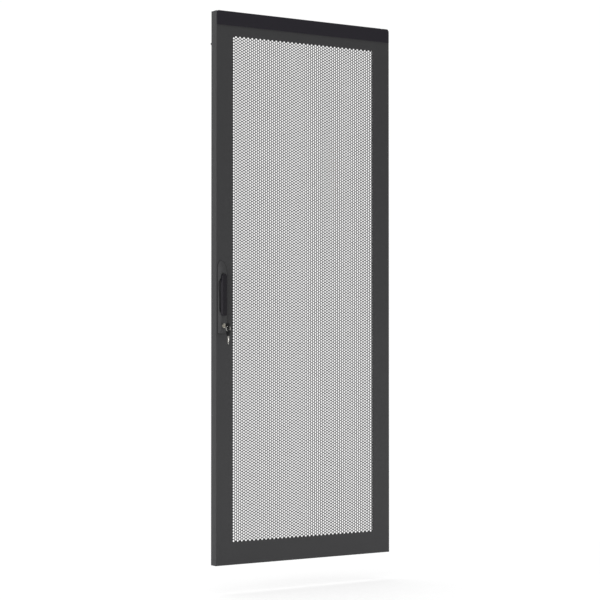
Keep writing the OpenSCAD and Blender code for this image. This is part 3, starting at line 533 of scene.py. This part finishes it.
def metal(name, code, roughness, grain, stretch=(1, 1, 1), thread=0.0):
    """Bare or plated metal: fine marks from its rolling or plating, and a screw thread along Y if asked."""
    finish, tree, shader = new_finish(name)
    place = add_node(tree, "ShaderNodeTexCoord").outputs["Object"]
    drawn = add_node(tree, "ShaderNodeMapping", {}, {"Vector": place, "Scale": stretch})
    marks = add_node(tree, "ShaderNodeTexNoise", {}, {
        "Vector": drawn, "Scale": 1 / grain, "Detail": 3.0, "Roughness": 0.6})
    rough = add_node(tree, "ShaderNodeMapRange", {}, {
        "Value": marks, "To Min": roughness - 0.08, "To Max": roughness + 0.08})
    bump = add_node(tree, "ShaderNodeBump", {}, {
        "Height": marks, "Strength": 0.1, "Distance": 0.03 * MM})
    if thread:
        # A wave texture of this scale repeats once in each pitch of the thread.
        turns = add_node(tree, "ShaderNodeTexWave", {"bands_direction": "Y"}, {
            "Vector": place, "Scale": math.pi / (10 * thread)})
        bump = add_node(tree, "ShaderNodeBump", {}, {
            "Height": turns.outputs["Fac"], "Distance": 0.4 * MM, "Normal": bump})
    tree.links.new(rough.outputs["Result"], shader.inputs["Roughness"])
    tree.links.new(bump.outputs["Normal"], shader.inputs["Normal"])
    shader.inputs["Base Color"].default_value = srgb(code)
    shader.inputs["Metallic"].default_value = 1.0
    return finish


def rubber(name, code):
    """Moulded rubber: nearly black and dull, with the faint grey bloom that comes out of it."""
    finish, tree, shader = new_finish(name)
    place = add_node(tree, "ShaderNodeTexCoord").outputs["Object"]
    bloom = add_node(tree, "ShaderNodeTexNoise", {}, {"Vector": place, "Scale": 1 / (2 * MM)})
    shade = add_node(tree, "ShaderNodeMapRange", {}, {"Value": bloom, "To Min": 0.85, "To Max": 1.2})
    colour = add_node(tree, "ShaderNodeVectorMath", {"operation": "SCALE"}, {
        0: srgb(code)[:3], "Scale": shade})
    tree.links.new(colour.outputs["Vector"], shader.inputs["Base Color"])
    shader.inputs["Roughness"].default_value = 0.8
    shader.inputs["IOR"].default_value = 1.5
    return finish


# Black rubber for the handle's gasket and the stop buffer. The gasket's black rim round the escutcheon is
# real rubber and also painted shade: it darkens the outline where the escutcheon's contact shadow falls.
rubber_and_painted_shade = rubber("black_rubber", "#141414")
eased("handle_gasket", rubber_and_painted_shade, "black_rubber", 0.15 * MM)
# Steel drawn through a die: pale, with marks ten times as long as they are wide
drawn_steel = metal("drawn_steel", "#B4B6B8", 0.35, 1 * MM, (1, 0.1, 1))
eased("lever_pin", drawn_steel, "bright_steel", 0.2 * MM)


# ---------------------------------------------------------------------------
# Lock and keys
# A turned cylinder lock in satin nickel with the key in it. The key's moulded bow holds a wire ring,
# and a spare key hangs from the ring.
# ---------------------------------------------------------------------------
# Satin nickel plate: a warm grey whose highlights are spread by the brushing under it
nickel = metal("satin_nickel", "#B9B5AC", 0.3, 0.8 * MM)
# Nickel silver, the pale alloy of keys, with the long marks of its milling
key_steel = metal("nickel_silver", "#D0CEC8", 0.3, 0.8 * MM, (1, 0.15, 1))
# The bows are moulded in the deepest black, with a grain that only just dulls them.
key_plastic = moulded("key_bow_plastic", "#0E0E10", 0.45, 1 * MM)
eased("lock_barrel", nickel, "nickel_plate", 0.4 * MM)
eased("lock_plug", nickel, "nickel_plate", 0.2 * MM)
eased("key_blade", key_steel, "nickel_plate", 0.15 * MM)
eased("spare_blade", key_steel, "nickel_plate", 0.15 * MM)
eased("key_bow", key_plastic, "key_plastic", 0.8 * MM)
eased("spare_bow", key_plastic, "key_plastic", 0.8 * MM)
eased("key_ring", key_steel, "nickel_plate", 0.1 * MM)


# ---------------------------------------------------------------------------
# Latch behind the leaf
# Zinc-plated steel: the fixing plate, the drawn gear case with its rivets, the two locking bars in
# nylon guides, and the nuts, screws and washers. Brackets and earthing point have the same plate.
# ---------------------------------------------------------------------------
# Bright zinc plate: a cool grey, half matt, clouded a few millimetres across
zinc = metal("bright_zinc_plate", "#B9BDC2", 0.38, 4 * MM)
# Die-cast zinc alloy, left bare: darker and duller than plate
cast = metal("cast_zinc_alloy", "#A6A8AA", 0.5, 1.5 * MM)
for node in ("case_plate", "latch_case", "upper_rod", "lower_rod", "lock_tongue",
             "lower_hinge_bracket", "pinion"):
    eased(node, zinc, "zinc_plate", 0.3 * MM)
# The upper bracket's corner lies behind the strip that closes the clipped corner, clear of it by 0.1 mm.
eased("upper_hinge_bracket", zinc, "zinc_plate", 0.3 * MM, slant_inset=sheet + 0.1 * MM)
for node in ("trim_clips", "case_rivets", "handle_screws", "spindle_washer", "spindle_screw",
             "lock_nut", "tongue_screw", "earth_washer", "earth_nut"):
    eased(node, zinc, "zinc_plate", 0.25 * MM)
# The stud's thread, of 1 mm pitch, is drawn by its shading.
stud_zinc = metal("threaded_zinc_plate", "#B9BDC2", 0.38, 4 * MM, thread=1 * MM)
eased("earth_stud", stud_zinc, "zinc_plate", 0.25 * MM)
eased("spindle", cast, "cast_zinc", 0.3 * MM)
# Plain nylon as it leaves the mould: black with a dull, even sheen
guide_nylon = moulded("black_nylon", "#161618", 0.5, 1 * MM)
eased("rod_guides", guide_nylon, "black_nylon", 0.6 * MM)


# ---------------------------------------------------------------------------
# Hinges
# A nylon bush at the foot, and at the head a sprung steel pin with a moulded knob to draw it down.
# ---------------------------------------------------------------------------
eased("lower_hinge_bush", guide_nylon, "black_nylon", 0.3 * MM)
eased("hinge_pin", drawn_steel, "bright_steel", 0.3 * MM)
eased("pin_knob", guide_nylon, "black_nylon", 0.5 * MM)
# Spring wire keeps the oil of its winding, which leaves it a darker grey than the pin.
oiled_wire = metal("oiled_spring_wire", "#7F8285", 0.35, 0.6 * MM)
coil = bpy.data.objects.new("pin_spring_coil", frame["nodes"]["pin_spring"].data.copy())
bpy.context.scene.collection.objects.link(coil)
coil.data.materials.clear()
coil.data.materials.append(oiled_wire)
keep(smoothed(coil, 60), "leaf", "spring_wire", "pin_spring")
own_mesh(coil)


# ---------------------------------------------------------------------------
# Stop buffer
# A black rubber stub pushed through the rear lip, which softens the closing of the door.
# ---------------------------------------------------------------------------
eased("stop_buffer", rubber_and_painted_shade, "black_rubber", 0.4 * MM)


# ---------------------------------------------------------------------------
# Studio
# A pale floor a little below the hanging door, a white surround, two large soft lamps and a small
# one in front of the lower half, and a camera with a long lens.
# ---------------------------------------------------------------------------
floor_z = -100 * MM
floor_half = 30.0
middle = (leaf_low + leaf_high) / 2


def floor_finish():
    """Matt white floor: it keeps a faint shadow below the door and reads as paper white elsewhere."""
    finish, tree, shader = new_finish("studio_floor")
    shader.inputs["Base Color"].default_value = srgb("#F0F0F0")
    shader.inputs["Roughness"].default_value = 0.9
    shader.inputs["Specular IOR Level"].default_value = 0.0
    lit = add_node(tree, "ShaderNodeEmission", {}, {"Color": (1, 1, 1, 1), "Strength": 1.03})
    place = add_node(tree, "ShaderNodeTexCoord").outputs["Object"]
    away = add_node(tree, "ShaderNodeVectorMath", {"operation": "DISTANCE"}, {
        0: place, 1: (middle.x, middle.y, floor_z)}).outputs["Value"]
    # The lit floor with its shadow shows by four tenths, and fades out from 0.7 m to 2 m away.
    fade = add_node(tree, "ShaderNodeMapRange", {"interpolation_type": "SMOOTHSTEP"}, {
        "Value": away, "From Min": 0.7, "From Max": 2.0, "To Min": 0.6, "To Max": 1.0})
    path = add_node(tree, "ShaderNodeLightPath").outputs
    seen = add_node(tree, "ShaderNodeMath", {"operation": "MAXIMUM"}, {
        0: path["Is Camera Ray"], 1: path["Is Glossy Ray"]})
    share = add_node(tree, "ShaderNodeMath", {"operation": "MULTIPLY"}, {0: seen, 1: fade})
    mixed = add_node(tree, "ShaderNodeMixShader", {}, {0: share, 1: shader, 2: lit})
    tree.links.new(mixed.outputs[0], tree.nodes["Material Output"].inputs["Surface"])
    return finish


floor_mesh = bmesh.new()
corners = [(-1, -1), (1, -1), (1, 1), (-1, 1)]
floor_mesh.faces.new([floor_mesh.verts.new((x * floor_half, y * floor_half, floor_z)) for x, y in corners])
as_object(floor_mesh, "studio_floor", floor_finish())

world = bpy.data.worlds.new("studio")
bpy.context.scene.world = world
world.use_nodes = True
sky = world.node_tree
plain = add_node(sky, "ShaderNodeBackground", {}, {"Color": (1, 1, 1, 1), "Strength": 0.485})
white = add_node(sky, "ShaderNodeBackground", {}, {"Color": (1, 1, 1, 1), "Strength": 1.02})
path = add_node(sky, "ShaderNodeLightPath").outputs
mixed = add_node(sky, "ShaderNodeMixShader", {}, {0: path["Is Camera Ray"], 1: plain, 2: white})
sky.links.new(mixed.outputs[0], sky.nodes["World Output"].inputs["Surface"])


def soft_lamp(name, offset, size, power):
    """A soft square lamp at an offset in metres from the middle of the leaf, which it faces."""
    data = bpy.data.lights.new(name, "AREA")
    data.shape = "SQUARE"
    data.size = size
    data.energy = power
    lamp = bpy.data.objects.new(name, data)
    lamp.location = middle + Vector(offset)
    lamp.visible_camera = False
    lamp.rotation_mode = "QUATERNION"
    lamp.rotation_quaternion = Vector(offset).to_track_quat("Z", "Y")
    bpy.context.scene.collection.objects.link(lamp)


soft_lamp("key_lamp", (-5.0, -1.0, 0.5), 3.0, 162)
soft_lamp("top_lamp", (0.0, 0.5, 3.5), 4.0, 175)
soft_lamp("low_lamp", (0.8, -1.4, -0.92), 0.6, 6.2)

# The camera stands on the lock side, at the height of the handle's lock.
camera = bpy.data.objects.new("camera", bpy.data.cameras.new("camera"))
bpy.context.scene.collection.objects.link(camera)
camera.data.lens = 110.55
camera.data.sensor_width = 36
camera.data.clip_end = 100
camera.location = (-4.1690, -5.5769, 0.8271)
camera.rotation_euler = (math.radians(90.9926), 0, math.radians(-34.2385))
bpy.context.scene.camera = camera
bpy.context.scene.view_settings.view_transform = "Standard"
